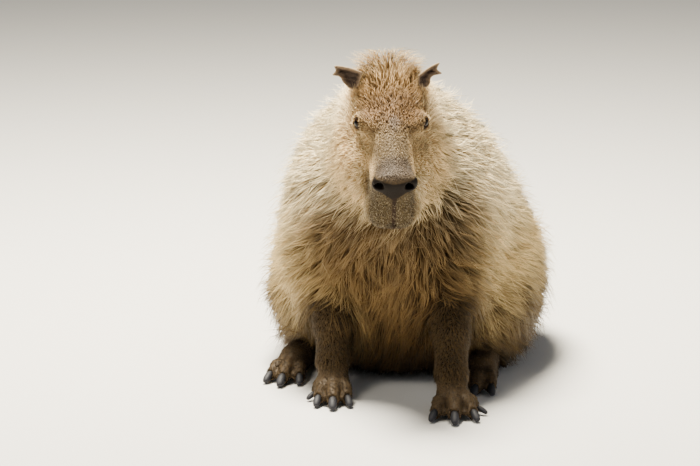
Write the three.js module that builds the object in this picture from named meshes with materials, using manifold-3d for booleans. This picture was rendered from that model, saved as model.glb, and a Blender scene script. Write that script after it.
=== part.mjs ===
// Adult capybara sitting on its haunches with its forelegs straight, life size, in millimetres.
// Z is up and the floor is z = 0. The animal faces -Y, and its own left side is +X.
import * as THREE from "three";
import { ConvexGeometry } from "three/addons/geometries/ConvexGeometry.js";
import { mergeVertices } from "three/addons/utils/BufferGeometryUtils.js";
import { MeshSurfaceSampler } from "three/addons/math/MeshSurfaceSampler.js";
import Module from "manifold-3d";

const wasm = await Module();
wasm.setup();

// Driving dimensions
const GAP = 0.3; // left between pieces that meet
const BODY_YAW = -12; // degrees that the hindquarters are turned to the animal's left
const BODY_PIVOT = [0, -100, 0];
const HEAD_PLACE = [-5, -232, 457]; // middle of the skull
const HEAD_PITCH = 20; // degrees, nose down
const HEAD_YAW = 4; // degrees, nose to the animal's left
const NAPE = 44; // how far behind the middle of the skull the head meets the neck
const EYE_RADIUS = 12.5;
const EYE_PLACE = [51, -30, 50]; // in the head's frame
const EAR_PLACE = [67, 44, 98]; // in the head's frame
const EAR_SIZE = [27, 9, 19]; // half its length, thickness and height
const LEG_REACH = { right: [-101, -262], left: [104, -354] }; // where the forefeet stand, x and y
const HIND_REACH = [172, -142]; // where a hind foot's toes start, x and y in the body's frame
const COAT_RISE = 25; // how far the tips of the coat stand outside its core
const SEED = 20;

const radians = THREE.MathUtils.degToRad;
const vec = (x, y, z) => new THREE.Vector3(x, y, z);
const SIDES = { left: 1, right: -1 };

// A frame that turns about its own X by pitch and about Z by yaw, then stands at a place
function frameAt(place, pitch = 0, yaw = 0) {
  const turn = new THREE.Euler(radians(pitch), 0, radians(yaw), "ZYX");
  return new THREE.Matrix4().makeRotationFromEuler(turn).setPosition(...place);
}
const worldFrame = new THREE.Matrix4();
const headFrame = frameAt(HEAD_PLACE, HEAD_PITCH, HEAD_YAW);
const bodyFrame = frameAt(BODY_PIVOT, 0, BODY_YAW).multiply(frameAt(BODY_PIVOT.map((value) => -value)));

// Masses of flesh and coat, each a function that gives the distance from a point to its surface
function ball(frame, centre, radii, pitch = 0) {
  const inverse = frame.clone().multiply(frameAt(centre, pitch)).invert();
  const [a, b, c] = radii;
  const q = vec();
  return (p) => {
    q.copy(p).applyMatrix4(inverse);
    const scaled = Math.hypot(q.x / a, q.y / b, q.z / c);
    const slope = Math.hypot(q.x / (a * a), q.y / (b * b), q.z / (c * c));
    return slope < 1e-9 ? -Math.min(a, b, c) : (scaled * (scaled - 1)) / slope;
  };
}

function rod(frame, from, to, radiusFrom, radiusTo) {
  const start = vec(...from).applyMatrix4(frame);
  const along = vec(...to).applyMatrix4(frame).sub(start);
  const q = vec();
  return (p) => {
    q.copy(p).sub(start);
    const share = THREE.MathUtils.clamp(q.dot(along) / along.lengthSq(), 0, 1);
    return q.addScaledVector(along, -share).length() - THREE.MathUtils.lerp(radiusFrom, radiusTo, share);
  };
}

function block(frame, centre, half, round) {
  const inverse = frame.clone().multiply(frameAt(centre)).invert();
  const q = vec();
  return (p) => {
    q.copy(p).applyMatrix4(inverse);
    const out = [q.x, q.y, q.z].map((value, i) => Math.abs(value) - half[i] + round);
    const outside = Math.hypot(...out.map((value) => Math.max(value, 0)));
    return outside + Math.min(Math.max(...out), 0) - round;
  };
}

// Masses joined with a soft fillet of size k
function blended(a, b, k) {
  const overlap = Math.max(k - Math.abs(a - b), 0);
  return Math.min(a, b) - (overlap * overlap) / (4 * k);
}
const joined = (masses, k) => (p) => masses.reduce((sum, mass) => blended(sum, mass(p), k), 1e4);
const mirrored = (make) => Object.values(SIDES).map(make);

const headShape = joined(
  [
    ball(headFrame, [0, 15, 25], [69, 85, 66]), // braincase
    ball(headFrame, [0, 48, 60], [62, 52, 46]), // crown
    ball(headFrame, [0, -20, -58], [56, 88, 40]), // jaw
    rod(headFrame, [0, -6, 46], [0, -124, -5], 40, 30), // bridge of the nose
    block(headFrame, [0, -96, -34], [40, 68, 51], 26), // muzzle
    ball(headFrame, [0, -150, 3], [39, 17, 18]), // nose pad
    ball(headFrame, [0, -112, -84], [28, 28, 16]), // chin
    ...mirrored((side) => ball(headFrame, [38 * side, -4, -26], [44, 76, 62])), // cheeks
    ...mirrored((side) => ball(headFrame, [46 * side, -30, 60], [15, 24, 12])), // brows
    ...mirrored((side) => ball(headFrame, [21 * side, -130, -58], [25, 33, 28])), // upper lips
  ],
  14,
);
const neckShape = joined(
  [
    rod(worldFrame, [-2, -128, 466], [4, -40, 385], 94, 126),
    ball(worldFrame, [0, -122, 350], [128, 100, 112]), // throat and ruff
  ],
  50,
);
const torsoShape = joined(
  [
    ball(bodyFrame, [0, 40, 250], [196, 285, 196], -33), // rib cage and back
    ball(bodyFrame, [0, -118, 258], [146, 112, 158]), // chest
    ball(bodyFrame, [0, -12, 142], [156, 182, 126]), // belly
    ball(bodyFrame, [0, 205, 150], [182, 165, 158]), // rump
    ball(bodyFrame, [-98, -122, 240], [70, 86, 128]), // right shoulder
    ball(bodyFrame, [98, -144, 244], [70, 94, 134]), // left shoulder
  ],
  60,
);
const thighShape = (side) =>
  joined(
    [
      ball(bodyFrame, [128 * side, 95, 136], [102, 160, 128]),
      rod(bodyFrame, [160 * side, -28, 118], [152 * side, 45, 56], 62, 36), // shank folded under it
    ],
    50,
  );
const trunkShape = joined([torsoShape, neckShape, ...mirrored(thighShape)], 70);

// A straight foreleg from the elbow, which the chest covers, down to the wrist
const WRIST_HEIGHT = 66;
const ELBOW = { right: [-103, -160, 190], left: [104, -200, 190] };
const wristOf = (name) => [LEG_REACH[name][0] - 2, LEG_REACH[name][1] + 22, WRIST_HEIGHT];
const forelegShape = (name) => {
  const middle = vec(...ELBOW[name]).lerp(vec(...wristOf(name)), 0.55).toArray();
  return joined(
    [rod(worldFrame, ELBOW[name], middle, 36, 29), rod(worldFrame, middle, wristOf(name), 29, 25)],
    20,
  );
};

// Toes as offsets from where the foot stands: across to the outside and forward, with the tip radius
const FORE_TOES = [
  { across: -30, forward: 44, radius: 12 },
  { across: 1, forward: 60, radius: 13.5 },
  { across: 31, forward: 43, radius: 12 },
  { across: 41, forward: 8, radius: 9 },
];
const HIND_TOES = [
  { across: -27, forward: 54, radius: 12 },
  { across: 1, forward: 70, radius: 13.5 },
  { across: 28, forward: 52, radius: 12 },
];
const TOE_SPREAD = { fore_right: 0.85, fore_left: 1.1, hind: 1 };
function toeLine(toe, { side, stand, spread }) {
  const [x, y] = stand;
  const tip = vec(x + toe.across * side * spread, y - toe.forward, toe.radius - 1);
  const root = vec(x + toe.across * side * 0.55, y + 4, 27);
  return { root, tip, radius: toe.radius };
}
function toeShape(frame, line) {
  const knuckle = line.root.clone().lerp(line.tip, 0.6).add(vec(0, 0, 9));
  return joined(
    [
      rod(frame, line.root.toArray(), knuckle.toArray(), line.radius + 5, line.radius + 1),
      rod(frame, knuckle.toArray(), line.tip.toArray(), line.radius + 1, line.radius - 1),
    ],
    10,
  );
}

// Feet: where each stands, its toes and its sole
function forefoot(name) {
  const stand = LEG_REACH[name];
  const palm = ball(worldFrame, [stand[0], stand[1] + 2, 22], [35, 38, 27]);
  const ankle = rod(worldFrame, wristOf(name), [stand[0], stand[1] + 2, 28], 26, 26);
  const spread = TOE_SPREAD["fore_" + name];
  return { frame: worldFrame, side: SIDES[name], stand, spread, toes: FORE_TOES, sole: joined([palm, ankle], 14) };
}
function hindfoot(name) {
  const side = SIDES[name];
  const stand = [HIND_REACH[0] * side, HIND_REACH[1]];
  const pad = ball(bodyFrame, [stand[0], stand[1] + 10, 22], [37, 48, 25]);
  const heel = rod(bodyFrame, [150 * side, 40, 34], [stand[0], stand[1] + 20, 26], 33, 26);
  return { frame: bodyFrame, side, stand, spread: TOE_SPREAD.hind, toes: HIND_TOES, sole: joined([pad, heel], 14) };
}
const footShape = (foot) =>
  joined([foot.sole, ...foot.toes.map((toe) => toeShape(foot.frame, toeLine(toe, foot)))], 12);

// Every net's shape, how softly it runs into the rest, how far it may swell there, and the line that
// the net is stretched from
const SHAPES = {
  head: { shape: headShape, soften: 40, swell: 30, frame: headFrame, from: [0, 30, 10], to: [0, -112, -28] },
  trunk: { shape: trunkShape, soften: 40, swell: 0, frame: bodyFrame, from: [0, -88, 345], to: [0, 185, 165] },
};
for (const [name, side] of Object.entries(SIDES)) {
  SHAPES["foreleg_" + name] = {
    shape: forelegShape(name),
    soften: 34,
    swell: 16,
    frame: worldFrame,
    from: ELBOW[name],
    to: wristOf(name),
  };
  SHAPES["forefoot_" + name] = {
    shape: footShape(forefoot(name)),
    soften: 10,
    swell: 12,
    frame: worldFrame,
    from: [LEG_REACH[name][0], LEG_REACH[name][1] + 12, 36],
    to: [LEG_REACH[name][0], LEG_REACH[name][1] + 2, 25],
  };
  SHAPES["hindfoot_" + name] = {
    shape: footShape(hindfoot(name)),
    soften: 10,
    swell: 12,
    frame: bodyFrame,
    from: [151 * side, 28, 34],
    to: [HIND_REACH[0] * side, HIND_REACH[1] + 8, 24],
  };
}
const flowing = (names) => (p) =>
  names.reduce((sum, name) => blended(sum, SHAPES[name].shape(p), SHAPES[name].soften), 1e4);
const wholeAnimal = flowing(Object.keys(SHAPES));

// Solids
function closed(geometry) {
  const bare = new THREE.BufferGeometry();
  bare.setAttribute("position", geometry.getAttribute("position"));
  bare.setIndex(geometry.index);
  const merged = mergeVertices(bare, 1e-3);
  const corners = merged.index.array;
  const kept = [];
  for (let i = 0; i < corners.length; i += 3) {
    const [a, b, c] = corners.slice(i, i + 3);
    if (a !== b && b !== c && c !== a) kept.push(a, b, c);
  }
  return new wasm.Manifold(
    new wasm.Mesh({
      numProp: 3,
      vertProperties: new Float32Array(merged.attributes.position.array),
      triVerts: new Uint32Array(kept),
    }),
  );
}
const union = (solids) => wasm.Manifold.union(solids);
const largest = (solid) => solid.decompose().sort((a, b) => b.volume() - a.volume())[0];
const aboveFloor = (solid) => solid.trimByPlane([0, 0, 1], 0);
const spun = (geometry, frame) => closed(geometry.applyMatrix4(frame));

// How far along a direction a shape's surface is from a point inside it
const MARCH_STEP = 5;
function reach(shape, start, direction, level) {
  const at = (distance) => shape(start.clone().addScaledVector(direction, distance)) - level;
  let far = MARCH_STEP;
  while (at(far) < 0) far += MARCH_STEP;
  let near = far - MARCH_STEP;
  for (let i = 0; i < 14; i++) {
    const middle = (near + far) / 2;
    if (at(middle) < 0) near = middle;
    else far = middle;
  }
  return near;
}

// A capsule's net, stretched onto a shape from the line between two points
function stretched(shape, { frame, from, to }, { girth, caps, around, rows }, level = 0) {
  const start = vec(...from).applyMatrix4(frame);
  const line = vec(...to).applyMatrix4(frame).sub(start);
  const length = line.length();
  const direction = line.clone().normalize();
  const turn = new THREE.Quaternion().setFromUnitVectors(vec(0, 1, 0), direction);
  const geometry = new THREE.CapsuleGeometry(girth, length, caps, around, rows);
  const position = geometry.getAttribute("position");
  const spot = vec();
  for (let i = 0; i < position.count; i++) {
    spot.fromBufferAttribute(position, i);
    const along = THREE.MathUtils.clamp(spot.y, -length / 2, length / 2);
    const outward = spot.sub(vec(0, along, 0)).normalize().multiplyScalar(1e6).round().divideScalar(1e6);
    outward.applyQuaternion(turn);
    const foot = start.clone().addScaledVector(direction, along + length / 2);
    foot.addScaledVector(outward, reach(shape, foot, outward, level));
    position.setXYZ(i, foot.x, foot.y, foot.z);
  }
  return closed(geometry);
}

const NETS = {
  head: { girth: 70, caps: 9, around: 28, rows: 10 },
  trunk: { girth: 175, caps: 7, around: 28, rows: 8 },
  foreleg: { girth: 34, caps: 2, around: 10, rows: 6 },
  forefoot: { girth: 32, caps: 3, around: 10, rows: 1 },
  hindfoot: { girth: 30, caps: 2, around: 10, rows: 4 },
  toe: { girth: 11, caps: 2, around: 6, rows: 2 },
};
function net(name, level) {
  const { shape, swell } = SHAPES[name];
  const meeting = swell ? (p) => Math.max(wholeAnimal(p), shape(p) - swell) : shape;
  return stretched(meeting, SHAPES[name], NETS[name.split("_")[0]], level);
}

// Head: a net of the skull and muzzle, with nostrils, mouth, lip cleft and lids worked into it
const headPoint = (x, y, z) => vec(x, y, z).applyMatrix4(headFrame);
const NOSTRIL = { place: [26, -161, 7], size: [8, 15, 5.5], roll: 35 };
const LID = { ring: 13.6, tube: 3.6, tall: 0.82 };
const MOUTH_LINE = [
  [-40, -84, -64],
  [-45, -108, -73],
  [-38, -140, -80],
  [-18, -157, -82],
  [0, -155, -74],
  [18, -157, -82],
  [38, -140, -80],
  [45, -108, -73],
  [40, -84, -64],
];
const CLEFT_LINE = [
  [0, -170, -10],
  [0, -168, -31],
  [0, -166, -54],
  [0, -161, -78],
];

function groove(points, width, depth, steps) {
  const outline = new THREE.Shape([
    new THREE.Vector2(-depth, -width / 2),
    new THREE.Vector2(depth, -width / 2),
    new THREE.Vector2(depth, width / 2),
    new THREE.Vector2(-depth, width / 2),
  ]);
  const path = new THREE.CatmullRomCurve3(points.map((point) => headPoint(...point)));
  return closed(new THREE.ExtrudeGeometry(outline, { steps, extrudePath: path, bevelEnabled: false }));
}

const eyeFrame = (side) => {
  const outward = frameAt([EYE_PLACE[0] * side, EYE_PLACE[1], EYE_PLACE[2]], -8, 70 * side);
  return headFrame.clone().multiply(outward);
};
function eyeball(side, radius) {
  return spun(new THREE.SphereGeometry(radius, 10, 7), eyeFrame(side));
}
function lids(side) {
  const ring = new THREE.TorusGeometry(LID.ring, LID.tube, 4, 12);
  ring.scale(1, LID.tall, 1).rotateX(Math.PI / 2).rotateY(radians(14 * side)).translate(0, -4, 0);
  return spun(ring, eyeFrame(side));
}
function nostril(side) {
  const [x, y, z] = NOSTRIL.place;
  const hole = new THREE.SphereGeometry(1, 8, 5).scale(...NOSTRIL.size).rotateY(radians(NOSTRIL.roll * side));
  return spun(hole.translate(x * side, y, z), headFrame);
}
function headSolid(level) {
  const forward = vec(0, -1, 0).transformDirection(headFrame);
  const skull = net("head", level).trimByPlane(forward.toArray(), forward.dot(headPoint(0, NAPE + level, 0)));
  if (level) return skull;
  const carved = [groove(MOUTH_LINE, 3.4, 5, 12), groove(CLEFT_LINE, 3, 5, 3)];
  for (const side of Object.values(SIDES)) carved.push(nostril(side), eyeball(side, EYE_RADIUS + GAP));
  return largest(union([skull, ...mirrored(lids)]).subtract(union(carved)));
}

// Ears: a short leaf that narrows outwards, hollowed in front, with a notch in its outer end
function ear(side, level) {
  const [long, thick, high] = EAR_SIZE.map((value) => value + level);
  const place = frameAt([EAR_PLACE[0] * side, EAR_PLACE[1], EAR_PLACE[2]], -14, 16 * side);
  const frame = headFrame.clone().multiply(place).multiply(new THREE.Matrix4().makeRotationY(radians(-24 * side)));
  const leaf = (size, shift) => {
    const geometry = new THREE.SphereGeometry(1, 10, 6).rotateZ(Math.PI / 2);
    const position = geometry.getAttribute("position");
    for (let i = 0; i < position.count; i++) {
      const narrow = 1 - 0.38 * THREE.MathUtils.smoothstep(position.getX(i) * side, -0.6, 0.9);
      const square = 1 + 0.18 * Math.abs(position.getZ(i));
      position.setXYZ(i, position.getX(i) * square, position.getY(i), position.getZ(i) * narrow);
    }
    return spun(geometry.scale(...size).translate(...shift), frame);
  };
  const cup = leaf([long, thick, high], [0, 0, 0]);
  if (level) return cup;
  const hollow = leaf([22, 9, 13.5], [2 * side, -6, 0.5]);
  const notch = spun(new THREE.SphereGeometry(1, 6, 4).scale(8, 20, 4.5).translate(31 * side, 0, 1), frame);
  return cup.subtract(union([hollow, notch]));
}

// Feet: a sole and its toes, flat where they stand
function footSolid(name, foot, level) {
  const pieces = [stretched(foot.sole, SHAPES[name], NETS[name.split("_")[0]], level)];
  for (const toe of foot.toes) {
    const line = toeLine(toe, foot);
    const span = { frame: foot.frame, from: line.root.toArray(), to: line.tip.toArray() };
    pieces.push(stretched(toeShape(foot.frame, line), span, NETS.toe, level));
  }
  return aboveFloor(union(pieces));
}

// Blunt nails, each over the end of its toe
const CLAW = { length: 14, width: 9.5, height: 8.5, droop: 16 };
function claw(toe, foot, level) {
  const line = toeLine(toe, foot);
  const heading = line.tip.clone().sub(line.root).setZ(0).normalize();
  const centre = line.tip.clone().addScaledVector(heading, line.radius * 0.45);
  const yaw = THREE.MathUtils.radToDeg(Math.atan2(heading.x, -heading.y));
  const size = [CLAW.width, CLAW.length, CLAW.height].map((value) => (value * line.radius) / 13 + level);
  const spot = frameAt([centre.x, centre.y, size[2] + 2], CLAW.droop, yaw);
  return aboveFloor(spun(new THREE.SphereGeometry(1, 6, 4).scale(...size), foot.frame.clone().multiply(spot)));
}

// Trunk: one net, parted by thin cuts into neck, torso and thighs
const SHOULDER = vec(0, -88, 402).applyMatrix4(bodyFrame); // on the cut between neck and torso
const NECK_LINE = vec(0, -0.6, 0.8).transformDirection(bodyFrame);
const THIGH = { centre: [174, 72, 124], size: [112, 178, 146] };
const neckSide = (p) => p.clone().sub(SHOULDER).dot(NECK_LINE);
function thighRegion(side, level) {
  const [x, y, z] = THIGH.centre;
  const size = THIGH.size.map((value) => value + level);
  return spun(new THREE.SphereGeometry(1, 20, 12).scale(...size).translate(x * side, y, z), bodyFrame.clone());
}
const trunks = new Map();
function trunk(level) {
  if (!trunks.has(level)) trunks.set(level, aboveFloor(net("trunk", level)));
  return trunks.get(level);
}
const CORES = {
  neck: (level) => trunk(level).trimByPlane(NECK_LINE.toArray(), NECK_LINE.dot(SHOULDER) - level),
  torso: (level) =>
    trunk(level)
      .trimByPlane(NECK_LINE.clone().negate().toArray(), GAP - level - NECK_LINE.dot(SHOULDER))
      .subtract(union(mirrored((side) => thighRegion(side, GAP - level)))),
  thigh_left: (level) => trunk(level).intersect(thighRegion(1, level)),
  thigh_right: (level) => trunk(level).intersect(thighRegion(-1, level)),
};
function nodeOf(p) {
  if (neckSide(p) > 0) return "neck";
  const q = p.clone().applyMatrix4(bodyFrame.clone().invert());
  const [x, y, z] = THIGH.centre;
  const [a, b, c] = THIGH.size;
  if (Math.hypot((Math.abs(q.x) - x) / a, (q.y - y) / b, (q.z - z) / c) > 1) return "torso";
  return q.x > 0 ? "thigh_left" : "thigh_right";
}

// Coat: flat tapered locks that leave the core at a low angle and bend along the lie of the hair
const COAT = {
  crown: { spacing: 30, length: 74, width: 34, thick: 8, lift: 52 },
  ruff: { spacing: 49, length: 108, width: 52, thick: 9, lift: COAT_RISE },
  chest: { spacing: 48, length: 116, width: 52, thick: 9, lift: COAT_RISE },
  back: { spacing: 75, length: 158, width: 80, thick: 11, lift: COAT_RISE },
};
const LOCK_STATIONS = [
  { along: 0, width: 0.7, thick: 1, rise: -0.6 },
  { along: 0.3, width: 1, thick: 1, rise: 0.28 },
  { along: 0.7, width: 0.75, thick: 0.7, rise: 0.74 },
  { along: 1, width: 0, thick: 0, rise: 1 },
];
const LOCK_TRIES = 9000;
const LOCK_LOWEST = 55; // no lock is rooted lower than this
const LOCK_FLOOR = 4; // and none hangs lower than this
const LOCK_CLEAR = 6; // how far from legs and face the nearest is rooted
const LOCK_FOLD = 0.6; // cosine of the sharpest bend between stations
const LOCK_REACH = 0.75; // least distance from root to tip, as a share of the length
const CROWN_HALF = 58; // half the width of the crest behind the ears
const SLIVER = 0.05; // edges shorter than this are closed up

const coatAt = (p) => {
  if (p.z > 505 && Math.abs(p.x - HEAD_PLACE[0]) < CROWN_HALF && neckSide(p) > 70) return COAT.crown;
  if (neckSide(p) > 0) return COAT.ruff;
  return p.y < -140 ? COAT.chest : COAT.back;
};

// Random numbers from a seed, so that every build is alike
function seeded(seed) {
  let state = seed;
  return () => {
    state = (state + 0x6d2b79f5) | 0;
    let mixed = Math.imul(state ^ (state >>> 15), 1 | state);
    mixed = (mixed + Math.imul(mixed ^ (mixed >>> 7), 61 | mixed)) ^ mixed;
    return ((mixed ^ (mixed >>> 14)) >>> 0) / 4294967296;
  };
}

function slope(shape, p) {
  const step = 1.5;
  const axes = [vec(step, 0, 0), vec(0, step, 0), vec(0, 0, step)];
  return vec(...axes.map((axis) => shape(p.clone().add(axis)) - shape(p.clone().sub(axis)))).normalize();
}

// Lie of the hair: back along the body and down, fanning out in front
function lie(p) {
  const fan = THREE.MathUtils.smoothstep(-p.y, 40, 260) * 0.5;
  return vec((p.x / 150) * fan, 0.75, -0.66);
}

// A lock's middle line: it starts under the core's surface, then rises from it towards the tip
function lockLine({ root, size, bend }) {
  const line = [];
  const p = root.clone();
  LOCK_STATIONS.forEach(({ along, rise }, i) => {
    const normal = slope(wholeAnimal, p);
    const heading = lie(p);
    heading.addScaledVector(normal, -heading.dot(normal)).normalize().applyAxisAngle(normal, bend * (along - 0.4));
    if (i) p.addScaledVector(heading, size.length * (along - LOCK_STATIONS[i - 1].along));
    for (let settle = 0; settle < 3; settle++) {
      p.addScaledVector(slope(wholeAnimal, p), rise * size.lift - wholeAnimal(p));
    }
    p.z = Math.max(p.z, LOCK_FLOOR);
    line.push({ p: p.clone(), normal, heading });
  });
  return line;
}

// A flat blade with a low ridge: three corners at each station and one point at the tip
function lockRings(hair) {
  return hair.line.map(({ p, normal, heading }, i) => {
    const { width, thick } = LOCK_STATIONS[i];
    if (!width) return [p];
    const across = vec().crossVectors(normal, heading).normalize();
    const half = (hair.size.width * width) / 2;
    return [
      p.clone().addScaledVector(across, -half),
      p.clone().addScaledVector(across, half),
      p.clone().addScaledVector(normal, hair.size.thick * thick).addScaledVector(across, hair.skew * half),
    ];
  });
}

function lock(hair) {
  const points = lockRings(hair).flat();
  const last = points.length - 4;
  const faces = [0, 2, 1];
  for (let corner = 0; corner < last; corner++) {
    const next = corner % 3 === 2 ? corner - 2 : corner + 1;
    faces.push(corner, next, next + 3, corner, next + 3, corner + 3);
  }
  for (let corner = 0; corner < 3; corner++) faces.push(last + corner, last + ((corner + 1) % 3), last + 3);
  return closed(new THREE.BufferGeometry().setFromPoints(points).setIndex(faces));
}

// The room that a lock needs, with the gap around it: a convex block from each station to the next
function lockRoom(hair) {
  const far = GAP * Math.sqrt(3);
  const steps = [far, -far].flatMap((step) => [vec(step, 0, 0), vec(0, step, 0), vec(0, 0, step)]);
  const rings = lockRings(hair);
  return rings.slice(1).map((ring, i) => {
    const corners = [...rings[i], ...ring];
    return closed(new ConvexGeometry(corners.flatMap((corner) => steps.map((step) => corner.clone().add(step)))));
  });
}

// Roots are spread over the core at the spacing of each part of the coat
function grown() {
  const random = seeded(SEED);
  const vary = (share) => 1 + share * (2 * random() - 1);
  const sampler = new MeshSurfaceSampler(new THREE.Mesh(plain(trunk(0)))).setRandomGenerator(random).build();
  const bare = flowing(Object.keys(SHAPES).filter((name) => name !== "trunk"));
  const hairs = [];
  const root = vec();
  for (let i = 0; i < LOCK_TRIES; i++) {
    sampler.sample(root);
    const coat = coatAt(root);
    const near = hairs.some((hair) => hair.root.distanceTo(root) < (hair.size.spacing + coat.spacing) / 2);
    if (near || root.z < LOCK_LOWEST || bare(root) < LOCK_CLEAR) continue;
    const size = { ...coat, length: coat.length * vary(0.15), width: coat.width * vary(0.15) };
    const hair = { root: root.clone(), size, bend: 0.9 * (random() - 0.5), skew: 0.7 * (random() - 0.5) };
    const line = lockLine(hair);
    const folds = line.some(({ heading }, i) => i && heading.dot(line[i - 1].heading) < LOCK_FOLD);
    if (!folds && line.at(-1).p.distanceTo(root) > LOCK_REACH * size.length) hairs.push({ ...hair, line });
  }
  return hairs;
}

// Export
const plain = (solid) => {
  const mesh = solid.getMesh();
  const geometry = new THREE.BufferGeometry();
  const points = new Float32Array(mesh.numVert * 3);
  for (let i = 0; i < mesh.numVert; i++) {
    points.set(mesh.vertProperties.subarray(i * mesh.numProp, i * mesh.numProp + 3), i * 3);
  }
  geometry.setAttribute("position", new THREE.BufferAttribute(points, 3));
  return geometry.setIndex(new THREE.BufferAttribute(mesh.triVerts, 1));
};

const colours = {
  coat: { color: 0xb9a482, roughness: 0.9, metalness: 0 },
  face: { color: 0xa58257, roughness: 0.9, metalness: 0 },
  ear: { color: 0x4a3d36, roughness: 0.75, metalness: 0 },
  leg: { color: 0x5a4d3c, roughness: 0.85, metalness: 0 },
  eye: { color: 0x120d0a, roughness: 0.1, metalness: 0 },
  claw: { color: 0x34302d, roughness: 0.45, metalness: 0 },
};
const animal = new THREE.Group();
function add(name, solid, colour) {
  const mesh = new THREE.Mesh(plain(solid), new THREE.MeshStandardMaterial(colours[colour]));
  mesh.name = name;
  animal.add(mesh);
}

// Pieces in order: each one is cut clear of those before it, so that they meet face to face
const placed = new Map();
function place(name, make, colour) {
  const before = [...placed.values()].map((piece) => piece.wide);
  const solid = before.length ? make(0).subtract(union(before)) : make(0);
  placed.set(name, { solid: largest(solid), wide: make(GAP), colour });
}

for (const [name, side] of Object.entries(SIDES)) {
  place("eye_" + name, (level) => eyeball(side, EYE_RADIUS + level), "eye");
}
place("head", headSolid, "face");
for (const [name, side] of Object.entries(SIDES)) {
  place("ear_" + name, (level) => ear(side, level), "ear");
}
for (const [name, core] of Object.entries(CORES)) {
  place(name, core, "coat");
}
for (const name of Object.keys(SIDES)) {
  for (const [end, foot] of Object.entries({ fore: forefoot(name), hind: hindfoot(name) })) {
    const node = `${end}foot_${name}`;
    place(node, (level) => footSolid(node, foot, level), "leg");
    foot.toes.forEach((toe, i) => {
      place(`claw_${end}_${name}_${i + 1}`, (level) => claw(toe, foot, level), "claw");
    });
  }
  place("foreleg_" + name, (level) => net("foreleg_" + name, level), "leg");
}

// The locks grow from the piece that their root is in, and are cut clear of the others
const hairs = grown();
const rooms = [];
for (const name of Object.keys(CORES)) {
  const own = hairs.filter(({ root }) => nodeOf(root) === name);
  const others = [...placed].filter(([other]) => other !== name).map(([, piece]) => piece.wide);
  const locks = union(own.map(lock)).trimByPlane([0, 0, 1], LOCK_FLOOR).subtract(union([...others, ...rooms]));
  placed.get(name).solid = largest(placed.get(name).solid.add(locks).simplify(SLIVER));
  rooms.push(union(own.flatMap(lockRoom)));
}
for (const [name, { solid, colour }] of placed) add(name, solid, colour);

// The origin is on the floor under the middle of the animal
const box = new THREE.Box3().setFromObject(animal);
const middle = box.getCenter(vec());
animal.position.set(-middle.x, -middle.y, 0);

export default animal;
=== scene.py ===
import math

import bmesh
import bpy
import numpy as np
from mathutils import Matrix, Vector
from mathutils.kdtree import KDTree


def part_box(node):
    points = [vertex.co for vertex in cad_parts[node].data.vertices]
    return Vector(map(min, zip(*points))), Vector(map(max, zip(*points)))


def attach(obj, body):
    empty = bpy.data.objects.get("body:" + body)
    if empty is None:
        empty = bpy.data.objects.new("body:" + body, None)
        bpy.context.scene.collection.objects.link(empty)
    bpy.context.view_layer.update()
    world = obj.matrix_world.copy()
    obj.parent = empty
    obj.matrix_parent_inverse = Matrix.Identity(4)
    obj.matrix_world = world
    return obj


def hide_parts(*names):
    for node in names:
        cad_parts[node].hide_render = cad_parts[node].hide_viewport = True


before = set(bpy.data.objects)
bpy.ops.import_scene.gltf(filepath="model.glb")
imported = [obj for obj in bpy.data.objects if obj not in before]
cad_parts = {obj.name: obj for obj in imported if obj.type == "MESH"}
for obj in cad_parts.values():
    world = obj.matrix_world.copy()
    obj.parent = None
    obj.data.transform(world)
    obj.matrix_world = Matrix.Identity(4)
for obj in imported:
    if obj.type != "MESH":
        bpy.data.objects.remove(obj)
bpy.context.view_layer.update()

# Sizes are in millimetres in the maker's own frame: the animal faces -Y and its left side is +X
MM = 0.001
BODY_YAW = -12
BODY_PIVOT = (0, -100, 0)
HEAD_PLACE = (-5, -232, 457)
HEAD_PITCH = 20
HEAD_YAW = 4
EYE_RADIUS = 12.5
EYE_PLACE = (51, -30, 50)
EYE_PITCH = -8
EYE_TURN = 60
EAR_PLACE = (67, 44, 98)
EAR_PITCH = -14
EAR_TURN = 16
EAR_ROLL = -24
LEG_REACH = {"right": (-101, -262), "left": (104, -354)}
HIND_REACH = (172, -142)
WRIST_HEIGHT = 66
ELBOW = {"right": (-103, -160, 190), "left": (104, -200, 190)}
TOE_SPREAD = {"right": 0.85, "left": 1.1}
SIDES = {"left": 1, "right": -1}


def frame_at(place, pitch=0.0, yaw=0.0):
    turn = Matrix.Rotation(math.radians(yaw), 4, "Z") @ Matrix.Rotation(math.radians(pitch), 4, "X")
    return Matrix.Translation(place) @ turn


def rolled(degrees):
    return Matrix.Rotation(math.radians(degrees), 4, "Y")


WORLD = Matrix.Identity(4)
HEAD = frame_at(HEAD_PLACE, HEAD_PITCH, HEAD_YAW)
BODY = frame_at(BODY_PIVOT, 0, BODY_YAW) @ Matrix.Translation([-value for value in BODY_PIVOT])


def eye_frame(side):
    x, y, z = EYE_PLACE
    return HEAD @ frame_at((x * side, y, z), EYE_PITCH, EYE_TURN * side)


def ear_frame(side):
    x, y, z = EAR_PLACE
    return HEAD @ frame_at((x * side, y, z), EAR_PITCH, EAR_TURN * side) @ rolled(EAR_ROLL * side)


def into(space, points):
    """Points of the animal in the frame of one of its parts."""
    inverse = np.array(space.inverted())
    return points @ inverse[:3, :3].T + inverse[:3, 3]


def out_of(space, points):
    matrix = np.array(space)
    return np.asarray(points, float) @ matrix[:3, :3].T + matrix[:3, 3]


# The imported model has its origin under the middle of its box, and the left eye says how far that moved it
low, high = (np.array(corner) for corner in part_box("eye_left"))
MOVED = (low + high) / 2 / MM - np.array(eye_frame(1).translation)
MOVED[2] = 0


def metres(points):
    return (np.asarray(points) + MOVED) * MM


def smooth(value, low, high):
    share = np.clip((value - low) / (high - low), 0, 1)
    return share * share * (3 - 2 * share)


def unit(vectors):
    return vectors / np.maximum(np.linalg.norm(vectors, axis=-1, keepdims=True), 1e-9)


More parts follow.
